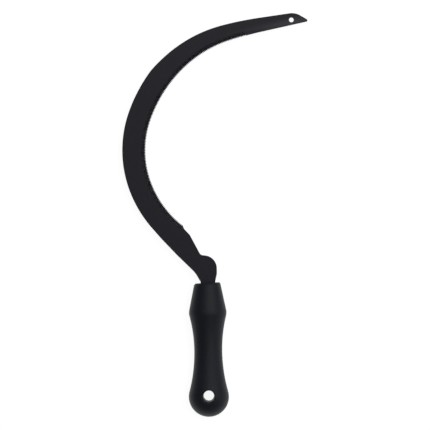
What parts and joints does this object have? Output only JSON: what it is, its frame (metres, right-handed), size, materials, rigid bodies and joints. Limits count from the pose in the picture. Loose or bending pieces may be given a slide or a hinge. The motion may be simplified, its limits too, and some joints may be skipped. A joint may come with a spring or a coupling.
{
  "type": "hand sickle",
  "caption": "Hand sickle: a crescent steel blade with fine saw teeth ground along its inner edge, its tang moulded into a waisted oval plastic handle with a hanging hole.",
  "frame": {"origin": "centre of the hanging hole in the handle's butt, in the middle plane of the blade", "axes": "+Y up the handle towards the blade, +X across the handle to the side that the point reaches, +Z out of the face with the ground bevel, along the hanging hole"},
  "size_m": [0.1944, 0.4186, 0.0286],
  "materials": {
    "blade": "satin blue-black",
    "handle": "matt, finely textured"
  },
  "bodies": {
    "root": {"blade": "blade", "handle": "handle"}
  },
  "joints": []
}
